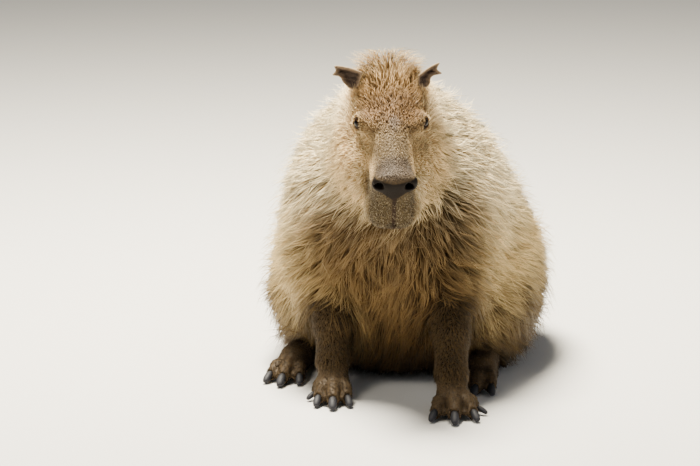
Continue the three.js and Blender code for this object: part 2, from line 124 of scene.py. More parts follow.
# Masses of flesh and coat, each a function that gives the distance from points to its surface
def ball(space, centre, radii, pitch=0.0):
    own = space @ frame_at(centre, pitch)
    radii = np.array(radii, float)

    def distance(points):
        local = into(own, points) / radii
        scaled = np.linalg.norm(local, axis=-1)
        slope = np.linalg.norm(local / radii, axis=-1)
        return scaled * (scaled - 1) / np.maximum(slope, 1e-6)

    return distance


def rod(space, start, end, radius_start, radius_end):
    start = np.array(space @ Vector(start))
    along = np.array(space @ Vector(end)) - start

    def distance(points):
        local = points - start
        share = np.clip(local @ along / (along @ along), 0, 1)
        nearest = np.linalg.norm(local - share[..., None] * along, axis=-1)
        return nearest - (radius_start + (radius_end - radius_start) * share)

    return distance


def chain(space, spots, radii):
    """Rods end to end through some spots."""
    return [rod(space, *spots[i : i + 2], *radii[i : i + 2]) for i in range(len(spots) - 1)]


def block(space, centre, half, rounding):
    own = space @ frame_at(centre)

    def distance(points):
        beyond = np.abs(into(own, points)) - np.array(half) + rounding
        outside = np.linalg.norm(np.maximum(beyond, 0), axis=-1)
        return outside + np.minimum(beyond.max(-1), 0) - rounding

    return distance


def blended(a, b, k):
    overlap = np.maximum(k - np.abs(a - b), 0)
    return np.minimum(a, b) - overlap * overlap / (4 * k)


def carved(a, b, k):
    """What is left of a where b is taken out of it."""
    return -blended(-a, b, k)


def joined(masses, k):
    def distance(points):
        total = masses[0](points)
        for mass in masses[1:]:
            total = blended(total, mass(points), k)
        return total

    return distance


head_mass = joined(
    [
        ball(HEAD, (0, 15, 25), (69, 85, 66)),
        ball(HEAD, (0, 48, 60), (62, 52, 46)),
        ball(HEAD, (0, -20, -58), (56, 88, 40)),
        rod(HEAD, (0, -6, 46), (0, -124, -5), 40, 30),
        block(HEAD, (-3, -96, -34), (38, 68, 51), 26),
        ball(HEAD, (0, -150, 3), (39, 17, 18)),
        ball(HEAD, (0, -112, -84), (28, 28, 16)),
        *[ball(HEAD, (38 * side, -4, -26), (44, 76, 62)) for side in (1, -1)],
        *[ball(HEAD, (35 * side, -14, 47), (27, 42, 23)) for side in (1, -1)],
        *[ball(HEAD, (18 * side - 4, -130, -58), (23, 33, 28)) for side in (1, -1)],
    ],
    14,
)
neck_mass = joined(
    [rod(WORLD, (-2, -128, 466), (4, -40, 385), 94, 126), ball(WORLD, (0, -122, 350), (128, 100, 112))],
    50,
)
torso_mass = joined(
    [
        ball(BODY, (0, 40, 250), (196, 285, 196), -33),
        ball(BODY, (0, -118, 258), (146, 112, 158)),
        ball(BODY, (0, -12, 142), (156, 182, 126)),
        ball(BODY, (0, 205, 150), (182, 165, 158)),
        ball(BODY, (-98, -122, 240), (70, 86, 128)),
        ball(BODY, (98, -144, 244), (70, 94, 134)),
    ],
    60,
)


def thigh_mass(side):
    shank = rod(BODY, (160 * side, -28, 118), (152 * side, 45, 56), 62, 36)
    return joined([ball(BODY, (128 * side, 95, 136), (102, 160, 128)), shank], 50)


trunk_mass = joined([torso_mass, neck_mass, thigh_mass(1), thigh_mass(-1)], 70)


def wrist(name):
    x, y = LEG_REACH[name]
    return (x - 2, y + 22, WRIST_HEIGHT)


def foreleg_mass(name):
    middle = Vector(ELBOW[name]).lerp(Vector(wrist(name)), 0.55)
    return joined(chain(WORLD, (ELBOW[name], middle, wrist(name)), (36, 29, 25)), 20)


# Toes as offsets from where the foot stands: across to the outside, forward, and the radius of the tip
FORE_TOES = ((-30, 44, 12), (1, 60, 13.5), (31, 43, 12), (41, 8, 9))
HIND_TOES = ((-27, 54, 12), (1, 70, 13.5), (28, 52, 12))


def foot_plan(end, name):
    side = SIDES[name]
    if end == "fore":
        x, y = LEG_REACH[name]
        palm = ball(WORLD, (x, y + 2, 22), (35, 38, 27))
        ankle = rod(WORLD, wrist(name), (x, y + 2, 28), 26, 26)
        return WORLD, side, (x, y), TOE_SPREAD[name], FORE_TOES, [palm, ankle]
    x, y = HIND_REACH[0] * side, HIND_REACH[1]
    pad = ball(BODY, (x, y + 10, 22), (37, 48, 25))
    heel = rod(BODY, (150 * side, 40, 34), (x, y + 20, 26), 33, 26)
    return BODY, side, (x, y), 1.0, HIND_TOES, [pad, heel]


def toe_line(toe, side, stand, spread):
    across, forward, radius = toe
    tip = Vector((stand[0] + across * side * spread, stand[1] - forward, radius - 1))
    root = Vector((stand[0] + across * side * 0.55, stand[1] + 4, 27))
    return root, tip, radius


# Half sizes of the claw on a toe of the full radius, and how much it points downwards
CLAW = {"length": 16, "width": 7.2, "height": 6.6, "droop": 27}
FULL_TOE = 13


def claw_frame(root, tip, radius, space):
    """A claw's own frame: -Y is where it points."""
    heading = math.degrees(math.atan2(tip.x - root.x, root.y - tip.y))
    flat = Vector((math.sin(math.radians(heading)), -math.cos(math.radians(heading)), 0))
    centre = tip + flat * radius * 0.62
    centre.z = CLAW["height"] * radius / FULL_TOE + 4.5
    return space @ frame_at(centre, CLAW["droop"], heading)


def claw_ball(root, tip, radius, space, extra):
    size = radius / FULL_TOE
    radii = [CLAW[name] * size + extra for name in ("width", "length", "height")]
    return ball(claw_frame(root, tip, radius, space), (0, 0, 0), radii)


def foot_mass(end, name):
    space, side, stand, spread, toes, sole = foot_plan(end, name)
    parts = [joined(sole, 14)]
    for toe in toes:
        root, tip, radius = toe_line(toe, side, stand, spread)
        knuckle = root.lerp(tip, 0.6) + Vector((0, 0, 9))
        parts.append(joined(chain(space, (root, knuckle, tip), (radius + 5, radius + 1, radius - 1)), 10))
    return joined(parts, 12)


def bare_foot(end, name):
    """A foot of the skin: toes that slope from the wrist, with webs half way and room for the claws."""
    space, side, stand, spread, toes, sole = foot_plan(end, name)
    lines = [toe_line(toe, side, stand, spread) for toe in toes]
    x, y = stand
    parts = [ball(space, (x, y + 14, 18), (23 + 5 * (end == "hind"), 28, 17)), sole[1]]
    for root, tip, radius in lines:
        heel = Vector((stand[0] + (root.x - stand[0]) * 0.8, root.y + 4, 34 if end == "fore" else 26))
        middle = heel.lerp(tip, 0.55) + Vector((0, 0, 5))
        parts.append(joined(chain(space, (heel, middle, tip), (radius - 1, radius - 2, radius - 3)), 8))
    foot = joined(parts, 7)
    webs = []
    for (_, first, _), (_, second, _) in zip(lines[:2], lines[1:3]):
        spot = first.lerp(second, 0.5)
        spot.y = spot.y + 26
        spot.z = 13
        webs.append(ball(space, spot, (abs(first.x - second.x) * 0.5, 20, 5)))
    claws = [claw_ball(root, tip, radius, space, 1.2) for root, tip, radius in lines]

    def distance(points):
        value = foot(points)
        for web in webs:
            value = blended(value, web(points), 8)
        for claw in claws:
            value = carved(value, claw(points), 1.5)
        return value

    return distance


FEET = [(end, name) for name in SIDES for end in ("fore", "hind")]
foot_masses = [foot_mass(end, name) for end, name in FEET]
bare_feet = [bare_foot(end, name) for end, name in FEET]
leg_masses = [foreleg_mass(name) for name in SIDES]


FAR = 400.0  # stands for any distance that is too large to matter


def where_near(shape, points, near):
    value = np.full(len(points), FAR)
    value[near] = shape(points[near])
    return value


def measured(points, foot_shapes=None):
    """Distances to head, trunk, forelegs and feet, worked out only where they matter."""
    foot_shapes = foot_shapes or foot_masses
    head = where_near(head_mass, points, (points[:, 2] > 240) & (points[:, 1] < 40))
    legs = [where_near(leg, points, (points[:, 2] < 280) & (points[:, 1] < 0)) for leg in leg_masses]
    feet = [where_near(foot, points, (points[:, 2] < 115) & (points[:, 1] < 40)) for foot in foot_shapes]
    return head, trunk_mass(points), legs, feet


def whole(head, trunk, legs, feet):
    total = blended(head, trunk, 40)
    for leg in legs:
        total = blended(total, leg, 34)
    for foot in feet:
        total = blended(total, foot, 10)
    return total


def animal(points):
    """Distance to the core, which is the animal's outline at about half the depth of its coat."""
    return whole(*measured(points))


def shares(points, head, trunk, legs, feet):
    """Shares from 0 to 1 of face, muzzle, limb and foot, and how far back on the head a point is."""
    local = into(HEAD, points)
    nearest = np.minimum.reduce(legs + feet)
    limb = smooth(trunk - nearest, -6, 22) * smooth(head - nearest, 0, 20)
    face = smooth(trunk - head, -20, 30) * (1 - limb)
    back = smooth(local[..., 1], -70, 45)
    muzzle = face * smooth(-local[..., 1], 40, 92)
    foot = limb * smooth(-points[..., 2], -70, -48)
    return face, muzzle, limb, foot, back


def region(points):
    return shares(points, *measured(points))


# How far the skin lies inside the core
COAT_DEPTH = 20
FACE_DEPTH = 4
NAPE_DEPTH = 11
MUZZLE_DEPTH = 1.5
LIMB_DEPTH = 2.5
FOOT_DEPTH = 0.0


def coat_depth(face, muzzle, limb, foot, back):
    on_face = FACE_DEPTH + (NAPE_DEPTH - FACE_DEPTH) * back + (MUZZLE_DEPTH - FACE_DEPTH) * muzzle
    depth = COAT_DEPTH + (on_face - COAT_DEPTH) * face
    on_limb = LIMB_DEPTH + (FOOT_DEPTH - LIMB_DEPTH) * foot
    return depth + (on_limb - depth) * limb


# Lids, nostrils and lips
MOUTH_LINE = [(-40, -84, -64), (-45, -108, -73), (-38, -140, -80), (-18, -157, -82), (0, -155, -74)]
MOUTH_LINE += [(-x, y, z) for x, y, z in MOUTH_LINE[-2::-1]]
CLEFT_LINE = [(-3, -172, -16), (-2, -168, -33), (-1, -166, -54), (0, -160, -76)]
LID_THICK = 2.0
SLIT = (12.5, 6.8)  # half length and half height of the opening between the lids
SLIT_ROLL = 42
NOSTRIL = {"place": (27, -161, 6), "size": (7.5, 15, 4.2), "roll": 35}
NOSE_SHIFT = (-3.5, 0, -4.5)  # the nose sits a little lower and more to the right than the muzzle


def curved(points, count):
    """Evenly counted points on a smooth line through a few."""
    points = np.array(points, float)
    ends = np.vstack([2 * points[0] - points[1], points, 2 * points[-1] - points[-2]])
    place = np.linspace(0, len(points) - 1, count)
    first = np.minimum(place.astype(int), len(points) - 2)
    t = (place - first)[:, None]
    a, b, c, d = (ends[first + i] for i in range(4))
    return 0.5 * (2 * b + (c - a) * t + (2 * a - 5 * b + 4 * c - d) * t**2 + (3 * b - a - 3 * c + d) * t**3)


def crease(line, radius):
    points = curved(line, 3 * len(line))
    rods = [rod(HEAD, a, b, radius, radius) for a, b in zip(points[:-1], points[1:])]
    return lambda at: np.minimum.reduce([piece(at) for piece in rods])


mouth_crease = crease(MOUTH_LINE, 2.0)
cleft_crease = crease(CLEFT_LINE, 1.8)


def lids(points, side):
    """The mound over the eyeball, the slit between the lids and the folds round them."""
    local = into(eye_frame(side), points)
    turn = math.radians(SLIT_ROLL * side)
    across = local[..., 0] * math.cos(turn) + local[..., 2] * math.sin(turn)
    up = local[..., 2] * math.cos(turn) - local[..., 0] * math.sin(turn)
    reach = np.linalg.norm(local, axis=-1)
    mound = reach - (EYE_RADIUS + LID_THICK)
    slit = np.abs(up - 0.5) - SLIT[1] * (1 - (across / SLIT[0]) ** 2)
    opening = np.maximum(np.maximum(slit * 0.8, local[..., 1] + 4), reach - EYE_RADIUS - 14)
    ring = np.hypot(across / 1.3, up)
    front = smooth(-local[..., 1], 0, 8)
    folds = 0.5 * np.cos((ring - 13.5) * 1.3) * smooth(ring, 10, 13) * (1 - smooth(ring, 20, 27)) * front
    return mound, opening, folds


def nostrils(points):
    slits = []
    for side in (1, -1):
        x, y, z = NOSTRIL["place"]
        place = HEAD @ Matrix.Translation(NOSE_SHIFT) @ Matrix.Translation((x * side, y, z))
        turned = place @ rolled(NOSTRIL["roll"] * side)
        slit = ball(turned, (0, 0, 0), NOSTRIL["size"])
        hole = ball(turned, (-4 * side, 0, -2), (4.6, 15, 4.8))
        slits.append(blended(slit(points), hole(points), 4))
    return np.minimum(*slits)


def hide(points):
    """Distance to the skin, with its lids, nostrils and lips."""
    parts = measured(points, bare_feet)
    surface = whole(*parts) + coat_depth(*shares(points, *parts))
    near = np.linalg.norm(into(HEAD, points) - np.array((0, -60, 0)), axis=-1) < 165
    if near.any():
        close = points[near]
        skin = surface[near]
        for side in (1, -1):
            mound, opening, folds = lids(close, side)
            skin = carved(blended(skin, mound, 8) - folds, opening, 1.4)
        skin = carved(skin, nostrils(close), 3)
        skin = carved(skin, mouth_crease(close), 3)
        skin = carved(skin, cleft_crease(close), 3)
        surface[near] = skin
    return surface


class Grid:
    """Values of a shape on a grid, read off between its points."""

    def __init__(self, shape, low, high, step, band=None):
        self.low = np.array(low, float)
        self.step = step
        axes = [np.arange(a, b + step, step) for a, b in zip(low, high)]
        self.points = np.stack(np.meshgrid(*axes, indexing="ij"), -1).reshape(-1, 3)
        if band is None:
            values = shape(self.points)
        else:
            coarse, reach = band
            values = coarse.at(self.points)
            near = np.abs(values) < reach
            values[near] = shape(self.points[near])
        self.values = values.reshape([len(axis) for axis in axes])
        slopes = np.stack(np.gradient(self.values, step), -1)
        self.slopes = unit(slopes).astype(np.float32)

    def at(self, points, slopes=False):
        field = self.slopes if slopes else self.values
        place = (points - self.low) / self.step
        corner = np.clip(np.floor(place).astype(int), 0, np.array(field.shape[:3]) - 2)
        share = np.clip(place - corner, 0, 1)
        total = 0
        for i, j, k in np.ndindex(2, 2, 2):
            weight = 1
            for axis, pick in enumerate((i, j, k)):
                weight = weight * (share[:, axis] if pick else 1 - share[:, axis])
            value = field[corner[:, 0] + i, corner[:, 1] + j, corner[:, 2] + k]
            total = total + (weight[:, None] * value if slopes else weight * value)
        return unit(total) if slopes else total


def surface_net(grid):
    """One point in every cell that the surface passes, and a quad round every edge that crosses it."""
    values = grid.values
    inside = values < 0
    shape = np.array(values.shape) - 1
    count = np.zeros(shape, np.int8)
    for i, j, k in np.ndindex(2, 2, 2):
        count += inside[i : i + shape[0], j : j + shape[1], k : k + shape[2]]
    cells = np.argwhere((count > 0) & (count < 8))
    index = np.full(tuple(shape), -1)
    index[tuple(cells.T)] = np.arange(len(cells))
    total = np.zeros((len(cells), 3))
    hits = np.zeros(len(cells))
    for corner in np.ndindex(2, 2, 2):
        for axis in range(3):
            if corner[axis]:
                continue
            step = np.eye(3, dtype=int)[axis]
            first = values[tuple((cells + corner).T)]
            second = values[tuple((cells + corner + step).T)]
            crossed = (first < 0) != (second < 0)
            share = first / np.where(crossed, first - second, 1)
            total += np.where(crossed[:, None], np.array(corner) + share[:, None] * step, 0)
            hits += crossed
    points = grid.low + grid.step * (cells + total / hits[:, None])
    quads = []
    for axis in range(3):
        u, v = (axis + 1) % 3, (axis + 2) % 3
        ahead = [slice(None)] * 3
        behind = [slice(None)] * 3
        ahead[axis] = slice(1, None)
        behind[axis] = slice(None, -1)
        edges = np.argwhere(inside[tuple(ahead)] != inside[tuple(behind)])
        for other in (u, v):
            edges = edges[(edges[:, other] > 0) & (edges[:, other] < shape[other])]
        around = []
        for du, dv in ((-1, -1), (0, -1), (0, 0), (-1, 0)):
            cell = edges.copy()
            cell[:, u] += du
            cell[:, v] += dv
            around.append(index[tuple(cell.T)])
        quad = np.stack(around, 1)
        flip = ~inside[tuple(edges.T)]
        quad[flip] = quad[flip][:, ::-1]
        quads.append(quad)
    return points, np.concatenate(quads)


def slope_at(shape, points, step):
    """How a shape's distance changes from a step behind each point to a step ahead, along each axis."""
    return np.stack([shape(points + axis) - shape(points - axis) for axis in step * np.eye(3)], -1)


SETTLE_STEP = 0.3


def settled(points, shape, rounds=3, reach=3.0):
    """Points moved along the slope onto a shape's surface."""
    points = points.copy()
    for _ in range(rounds):
        value = shape(points)
        slope = slope_at(shape, points, SETTLE_STEP) / (2 * SETTLE_STEP)
        slope /= np.maximum((slope**2).sum(-1, keepdims=True), 0.3)
        points -= np.clip(value, -reach, reach)[:, None] * slope
    return points


def in_scene(name, data):
    thing = bpy.data.objects.new(name, data)
    bpy.context.scene.collection.objects.link(thing)
    return thing


def mesh_piece(name, points, faces):
    """A piece from points in the maker's millimetres and faces that all have as many corners."""
    faces = np.asarray(faces, np.int32)
    mesh = bpy.data.meshes.new(name)
    mesh.vertices.add(len(points))
    mesh.vertices.foreach_set("co", metres(points).astype(np.float32).ravel())
    mesh.loops.add(faces.size)
    mesh.loops.foreach_set("vertex_index", faces.ravel())
    mesh.polygons.add(len(faces))
    mesh.polygons.foreach_set("loop_start", np.arange(0, faces.size, faces.shape[1], dtype=np.int32))
    mesh.polygons.foreach_set("use_smooth", np.ones(len(faces), bool))
    mesh.update(calc_edges=True)
    piece = in_scene(name, mesh)
    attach(piece, "root")
    return piece


def closed_up(piece):
    """Merges the points that meet at the poles and turns all faces outwards."""
    work = bmesh.new()
    work.from_mesh(piece.data)
    bmesh.ops.remove_doubles(work, verts=work.verts, dist=1e-6)
    bmesh.ops.recalc_face_normals(work, faces=work.faces)
    work.to_mesh(piece.data)
    work.free()


def keep_values(piece, name, values):
    """Numbers or colours kept on a piece's points, which its material reads by name."""
    values = np.asarray(values, np.float32)
    if values.ndim == 1:
        layer = piece.data.attributes.new(name, "FLOAT", "POINT")
        layer.data.foreach_set("value", values)
    else:
        layer = piece.data.attributes.new(name, "FLOAT_COLOR", "POINT")
        opaque = np.ones((len(values), 1), np.float32)
        layer.data.foreach_set("color", np.hstack([values, opaque]).ravel())


# Colours
def linear(hex_colour):
    """The linear colour of an sRGB hex value."""
    parts = [int(hex_colour[i : i + 2], 16) / 255 for i in (0, 2, 4)]
    return [part / 12.92 if part <= 0.04045 else ((part + 0.055) / 1.055) ** 2.4 for part in parts]


def near_place(points, space, centre, radii):
    """How close points are to a place, from 1 there to 0 at its edge."""
    local = (into(space, points) - np.array(centre)) / np.array(radii)
    return smooth(-np.linalg.norm(local, axis=-1), -1, -0.25)


def eye_clearance(points):
    eyes = []
    for side in (1, -1):
        turned = eye_frame(side) @ rolled(-SLIT_ROLL * side)
        eyes.append(near_place(points, turned, (0, -6, 0), (21, 26, 13)))
    return np.maximum(*eyes)


def fluff(points):
    """How long the hair of the head grows: more with distance from the nose, and along jaw and cheeks."""
    local = into(HEAD, points)
    far = smooth(np.linalg.norm(local - np.array((0, -165, 0)), axis=1), 105, 235)
    cheek = smooth(np.abs(local[:, 0]), 38, 74) * smooth(-local[:, 2], -30, 20) * 0.75
    jaw = smooth(np.abs(local[:, 0] + 6), 30, 40) * smooth(-local[:, 2], 4, 34) * 0.7
    throat = smooth(-local[:, 2], 60, 84) * 0.55
    eyes = [near_place(points, eye_frame(side), (0, -4, 6), (46, 40, 32)) for side in (1, -1)]
    return np.maximum.reduce([far, cheek, jaw, throat]) * (1 - 0.8 * np.maximum(*eyes))


def crest(points):
    """The mop of hair between the ears, highest in the middle."""
    local = into(HEAD, points)
    high = smooth(local[:, 2], 74, 106) * smooth(local[:, 1], -6, 44)
    return high * smooth(-np.abs(local[:, 0] + 3), -52, -10) * clear_of_ears(points)


def temples(points):
    """The pale hair that stands out behind the eyes and under the ears."""
    local = into(HEAD, points)
    return smooth(np.abs(local[:, 0]), 44, 62) * smooth(local[:, 1], -25, 25) * smooth(local[:, 2], 0, 30)


def clear_of_ears(points):
    ears = [near_place(points, ear_frame(side), (3 * side, -16, -3), (34, 34, 30)) for side in (1, -1)]
    return 1 - smooth(np.maximum(*ears), 0.1, 0.5)


def markings_and_painted_light(points, tips):
    """The animal's colours at some points, with painted top light and painted shade under the body: those of
    the hair's tips, or those of its roots and the skin.
    """
    face, _, limb, foot, _ = region(points)
    local = into(HEAD, points)

    def patch(colour, tip_colour, root_colour, share):
        share = np.clip(share, 0, 1)[:, None]
        return colour + (np.array(linear(tip_colour if tips else root_colour)) - colour) * share

    colour = patch(np.zeros((len(points), 3)), "dec48c", "806030", np.ones(len(points)))
    # Higher up, over neck, shoulders and back, the coat is pale cream, and it gets lighter with height as
    # painted top light
    shoulders_and_top_light = smooth(points[:, 2], 250, 400)
    colour = patch(colour, "ffefc8", "a88a56", shoulders_and_top_light * 0.95)
    rump = near_place(points, WORLD, (180, 120, 330), (110, 190, 130))
    colour = patch(colour, "a0865a", "524026", rump * 0.6)
    # Under the chin and between the forelegs the coat is a deeper orange brown, darkened further as painted
    # shade under the head
    chest_and_shade = smooth(-points[:, 1], 130, 215) * smooth(-points[:, 2], -440, -335)
    chest_and_shade = chest_and_shade * smooth(-np.abs(points[:, 0] + 5), -165, -75)
    colour = patch(colour, "5e431d", "2e1e0a", chest_and_shade * 0.9)
    # Low on the body the coat darkens to a deep brown: painted shade under the belly
    belly_and_shade = smooth(-points[:, 2], -250, -135)
    colour = patch(colour, "46300e", "201404", belly_and_shade * 0.92)
    colour = patch(colour, "f0d29c", "947040", face)
    forehead = smooth(near_place(points, HEAD, (0, -20, 84), (86, 76, 56)), 0, 0.6)
    colour = patch(colour, "906a38", "624724", face * forehead * 0.85)
    brow = smooth(near_place(points, HEAD, (0, -46, 68), (96, 60, 50)), 0, 0.8)
    colour = patch(colour, "62441d", "422d13", face * brow * 0.85)
    colour = patch(colour, "f8e8c4", "b09468", face * temples(points) * 0.8)
    # The crown's pale straw hair is made lighter still, as a painted highlight of the light from above
    crown = face * smooth(local[:, 2], 78, 104) * smooth(local[:, 1], -28, 16)
    colour = patch(colour, "f8e0b0", "c39d66", crown * 0.95)
    greyish = near_place(points, HEAD, (-3, 6, 108), (20, 22, 22))
    greyish = np.maximum(greyish, near_place(points, HEAD, (3, -62, 62), (14, 22, 20)))
    colour = patch(colour, "75675f", "5d504a", face * greyish * 0.6)
    bridge = smooth(-np.abs(local[:, 0] - NOSE_SHIFT[0]), -38, -24) * smooth(local[:, 2], -24, 4)
    bridge = bridge * smooth(-local[:, 1], 40, 88)
    colour = patch(colour, "6b5a40", "443524", bridge * face * 0.95)
    above_nose = smooth(near_place(points, HEAD, (0, -138, 18), (58, 42, 30)), 0, 0.7)
    colour = patch(colour, "504235", "30271f", above_nose * face * 0.9)
    # The muzzle is olive brown down to the chin, with cream hair along both sides of it
    jaw = face * smooth(-local[:, 2], -2, 14) * smooth(-local[:, 1], 60, 100)
    colour = patch(colour, "ead9b4", "a89064", jaw * smooth(np.abs(local[:, 0] + 6), 33, 43) * 0.9)
    colour = patch(colour, "5c4e35", "3c3120", jaw * smooth(-np.abs(local[:, 0] + 6), -42, -33))
    colour = patch(colour, "130b06", "0c0703", face * nose_leather(local))
    lid = smooth(eye_clearance(points), 0.2, 0.5)
    colour = patch(colour, "3a2a1c", "2a1d13", face * lid)
    groove = cleft_share(local, 5.5) * 0.95
    lips = smooth(-mouth_crease(points), -6, -1) * 0.7
    colour = patch(colour, "2c1a10", "1e120a", face * np.maximum(groove, lips))
    # The legs are an olive brown, darkened further as painted shade under the belly; the feet below are
    # lighter
    colour = patch(colour, "4a391f", "281c0b", limb)
    return np.clip(patch(colour, "554530", "392e20", foot), 0, 1)


def cleft_share(local, width):
    """The groove that runs from the nose down to the chin."""
    line = smooth(-np.abs(local[:, 0] + 2.5), -width, -width / 3) * smooth(-local[:, 1], 125, 145)
    return line * smooth(-local[:, 2], 18, 26) * smooth(local[:, 2], -92, -80)


def nose_leather(local):
    """The bare dark nose: a band across both nostrils that runs down in a V to the cleft."""
    front = smooth(-local[:, 1], 128, 146)
    x, z = np.abs(local[:, 0] - NOSE_SHIFT[0]), local[:, 2] - NOSE_SHIFT[2]
    band = np.maximum(np.abs(z - 2 - 0.14 * x) - 11, x - 41)
    point = np.maximum(x - 25 * (1 + (z + 2) / 20), -22 - z)
    point = np.where(z > -2, 9.0, point)
    return front * smooth(-np.minimum(band, point), -3, 2.5)


# Materials are small trees of nodes
def connect(tree, node, **links):
    """Puts links or values on a node's inputs, each named, or numbered as i0, i1 and so on."""
    for name, value in links.items():
        key = int(name[1:]) if name[0] == "i" and name[1:].isdigit() else name.replace("_", " ")
        socket = node.inputs[key]
        if isinstance(value, bpy.types.NodeSocket):
            tree.links.new(value, socket)
        else:
            socket.default_value = value


def add_node(tree, kind, settings=None, **links):
    """A node with its settings, and with links or values on its inputs."""
    node = tree.nodes.new(kind)
    for name, value in (settings or {}).items():
        setattr(node, name, value)
    connect(tree, node, **links)
    return node


def set_stops(ramp, stops):
    """Gives a colour ramp its stops, each a place and an sRGB colour."""
    elements = ramp.color_ramp.elements
    while len(elements) < len(stops):
        elements.new(0.5)
    for element, (place, colour) in zip(elements, stops):
        element.position = place
        element.color = (*linear(colour), 1)


def new_material(name):
    material = bpy.data.materials.new(name)
    material.use_nodes = True
    tree = material.node_tree
    surface = next(node for node in tree.nodes if node.type == "BSDF_PRINCIPLED")
    return material, tree, surface


def guard_hair():
    """Coarse straw-like guard hair of a water-living rodent: dark roots, pale dry tips and a soft gloss."""
    material, tree, surface = new_material("guard_hair")
    tips = add_node(tree, "ShaderNodeAttribute", {"attribute_name": "tip_colour"})
    roots = add_node(tree, "ShaderNodeAttribute", {"attribute_name": "root_colour"})
    along = add_node(tree, "ShaderNodeAttribute", {"attribute_name": "along"})
    chance = add_node(tree, "ShaderNodeAttribute", {"attribute_name": "chance"})
    # The dark root gives way to the pale tip from about a third of the hair's length on
    ramp = add_node(
        tree, "ShaderNodeMapRange", {"interpolation_type": "SMOOTHSTEP"},
        Value=along.outputs["Fac"], From_Min=0.18, From_Max=0.9,
    )
    mixed = add_node(
        tree, "ShaderNodeMix", {"data_type": "RGBA"}, i0=ramp.outputs["Result"],
        i6=roots.outputs["Color"], i7=tips.outputs["Color"],
    )
    bright = add_node(tree, "ShaderNodeMapRange", Value=chance.outputs["Fac"], To_Min=0.42, To_Max=1.45)
    varied = add_node(tree, "ShaderNodeHueSaturation", Value=bright.outputs["Result"], Color=mixed.outputs[2])
    connect(
        tree, surface, Base_Color=varied.outputs["Color"], Roughness=0.6, IOR=1.55, Specular_IOR_Level=0.2
    )
    return material


GRAIN_PER_METRE = 520.0


def hide_skin():
    """Bare hide with fine creases, seen on nose, lips, ears and toes and between the hairs."""
    material, tree, surface = new_material("hide")
    tone = add_node(tree, "ShaderNodeAttribute", {"attribute_name": "skin_colour"})
    place = add_node(tree, "ShaderNodeTexCoord")
    where = place.outputs["Object"]
    # Pebbled grain about 2 mm across, coarser than the real one so that it shows
    grain = add_node(tree, "ShaderNodeTexVoronoi", {"feature": "F1"}, Vector=where, Scale=GRAIN_PER_METRE)
    speckle = add_node(tree, "ShaderNodeTexNoise", Vector=where, Scale=GRAIN_PER_METRE / 2, Detail=4.0)
    shade = add_node(
        tree, "ShaderNodeMapRange", Value=speckle.outputs["Fac"],
        From_Min=0.3, From_Max=0.7, To_Min=0.72, To_Max=1.25,
    )
    varied = add_node(
        tree, "ShaderNodeHueSaturation", Value=shade.outputs["Result"], Color=tone.outputs["Color"]
    )
    bump = add_node(tree, "ShaderNodeBump", Strength=0.35, Distance=0.0008, Height=grain.outputs["Distance"])
    connect(
        tree, surface, Base_Color=varied.outputs["Color"], Normal=bump.outputs["Normal"],
        Roughness=0.55, Specular_IOR_Level=0.12,
    )
    return material


def wet_eye():
    """Eyeball under a wet clear cornea: near-black pupil in a dark brown iris, with a hard highlight."""
    material, tree, surface = new_material("wet_eye")
    ring = add_node(tree, "ShaderNodeAttribute", {"attribute_name": "ring"})
    ramp = add_node(tree, "ShaderNodeValToRGB", Fac=ring.outputs["Fac"])
    # Pupil, iris, its dark rim and the white of the eye, which is brown here
    pupil = [(0.0, "050303"), (0.3, "060403")]
    set_stops(ramp, pupil + [(0.36, "231308"), (0.62, "180d07"), (0.72, "0b0705"), (1.0, "1b1210")])
    connect(
        tree, surface, Base_Color=ramp.outputs["Color"], Roughness=0.07, IOR=1.376, Specular_IOR_Level=0.18
    )
    return material


def blunt_horn():
    """Worn keratin: dark blue-grey horn, lighter and scratched toward the blunt end, with a soft shine."""
    material, tree, surface = new_material("blunt_horn")
    along = add_node(tree, "ShaderNodeAttribute", {"attribute_name": "along"})
    place = add_node(tree, "ShaderNodeTexCoord")
    streak = add_node(tree, "ShaderNodeTexNoise", Vector=place.outputs["Object"], Scale=300.0, Detail=5.0)
    both = add_node(
        tree, "ShaderNodeMath", {"operation": "MULTIPLY_ADD"},
        i0=streak.outputs["Fac"], i1=0.5, i2=along.outputs["Fac"],
    )
    ramp = add_node(tree, "ShaderNodeValToRGB", Fac=both.outputs["Value"])
    set_stops(ramp, [(0.2, "1b1b1e"), (1.0, "2d2d32")])
    bump = add_node(tree, "ShaderNodeBump", Strength=0.3, Distance=0.0005, Height=streak.outputs["Fac"])
    connect(
        tree, surface, Base_Color=ramp.outputs["Color"], Normal=bump.outputs["Normal"],
        Roughness=0.58, Specular_IOR_Level=0.22,
    )
    return material


# Skin
ROOM = (-330, -450, -12), (330, 420, 640)  # holds the animal with some to spare
CORE_STEP = 8
SKIN_STEP = 6
SKIN_BAND = 34  # the skin lies nearer to the core than this
SKIN_LOWEST = 0.3
grown = Grid(animal, *ROOM, CORE_STEP)
net_points, net_quads = surface_net(Grid(hide, *ROOM, SKIN_STEP, band=(grown, SKIN_BAND)))


def detail_wanted(points, level):
    """Where the net is made finer: face and feet first, then the eyes, nose and mouth."""
    local = into(HEAD, points)
    if level == 0:
        face = (local[:, 1] < 75) & (np.linalg.norm(local - np.array((0, -50, 0)), axis=1) < 150)
        feet = np.minimum.reduce([foot(points) for foot in foot_masses]) < 3
        return face | (feet & (points[:, 2] < 90))
    eyes = [np.linalg.norm(points - np.array(eye_frame(side).translation), axis=1) < 32 for side in (1, -1)]
    nose = np.linalg.norm(local - np.array((0, -160, -2)), axis=1) < 48
    mouth = np.minimum(mouth_crease(points), cleft_crease(points)) < 8
    return eyes[0] | eyes[1] | nose | mouth


